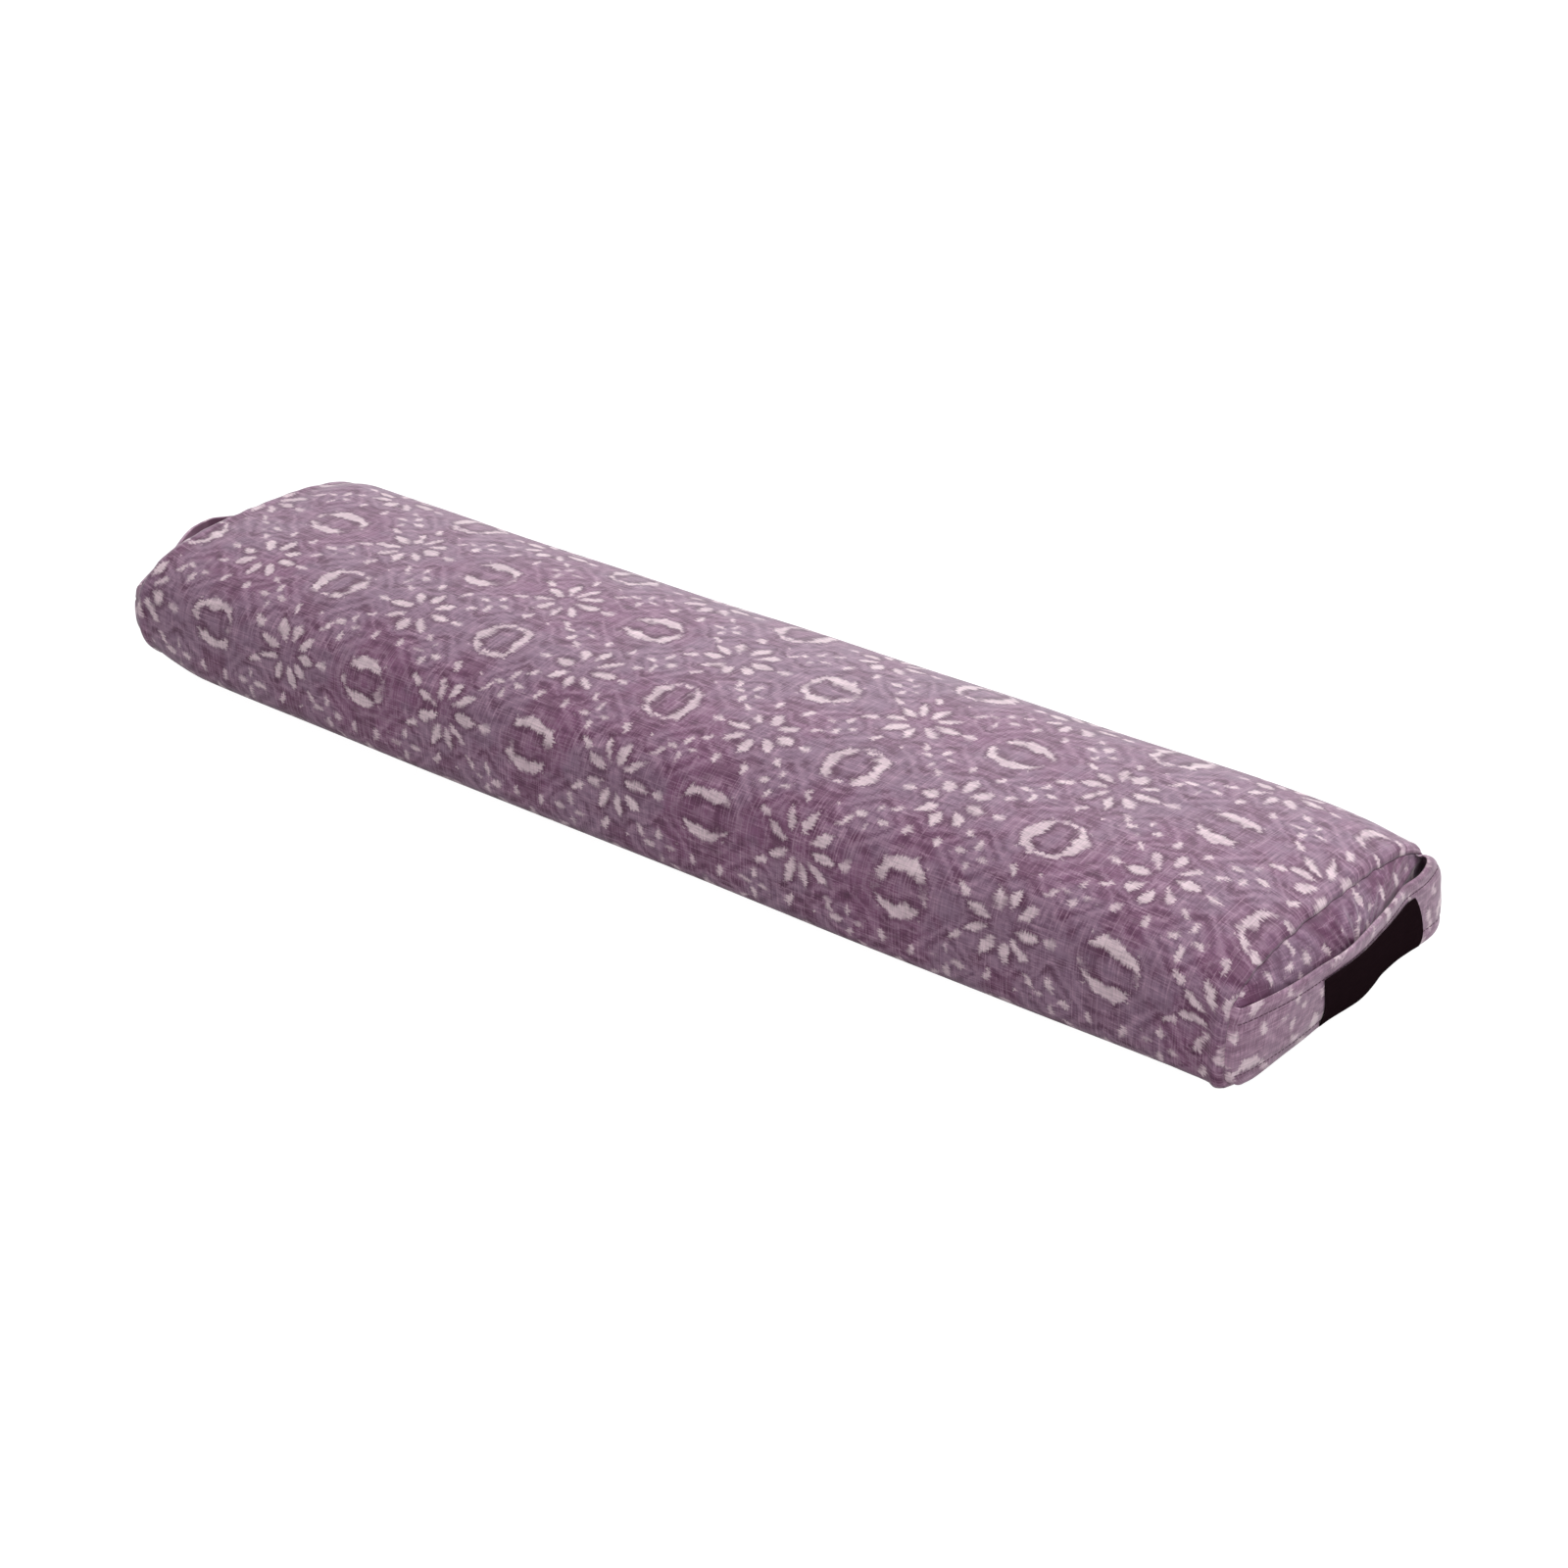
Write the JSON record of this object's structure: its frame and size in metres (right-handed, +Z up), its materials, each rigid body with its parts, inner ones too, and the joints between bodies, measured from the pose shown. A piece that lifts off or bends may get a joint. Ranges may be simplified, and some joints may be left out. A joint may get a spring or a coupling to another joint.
{
  "type": "yoga bolster",
  "caption": "Long slim rectangular yoga bolster: printed cotton cover with a carrying strap across each end and a zip along its back, over a cased cotton batting filling.",
  "frame": {"origin": "on the floor, in the middle of the flat underside, halfway between the two end seams", "axes": "+X along the bolster towards the end with the woven label, +Y towards the side with the zip, +Z up"},
  "size_m": [0.8304, 0.2056, 0.0825],
  "materials": {
    "printed_cotton": "matt slub weave",
    "label_weave": "satin weave",
    "zip_tape": "matt",
    "zip_coil": "satin",
    "nickel": "satin",
    "calico": "matt",
    "cotton_batting": "matt"
  },
  "bodies": {
    "cushion": {"cover_wrap": "printed_cotton", "cover_end_right": "printed_cotton", "cover_end_left": "printed_cotton", "handle_strap_right": "printed_cotton", "handle_strap_left": "printed_cotton", "strap_label": "label_weave", "inner_case_bag": "calico", "inner_case_end_flap": "calico", "batting_layer_1": "cotton_batting", "batting_layer_2": "cotton_batting", "batting_layer_3": "cotton_batting", "batting_layer_4": "cotton_batting", "batting_layer_5": "cotton_batting", "zip_tape_upper": "zip_tape", "zip_tape_lower": "zip_tape", "zip_coil_upper": "zip_coil", "zip_coil_lower": "zip_coil", "zip_stop_closed_end": "nickel", "zip_stop_open_end": "nickel"},
    "slider": {"zip_slider": "nickel"},
    "pull": {"zip_pull": "nickel"}
  },
  "joints": [
    {"name": "zip_slide", "type": "slide", "parent": "cushion", "child": "slider", "axis": [-1, 0, 0], "range_m": [0, 0.588]},
    {"name": "pull_hinge", "type": "hinge", "parent": "slider", "child": "pull", "pos_m": [0.294, 0.1025, 0.036], "axis": [0, 0, -1], "range_deg": [0, 170]}
  ]
}
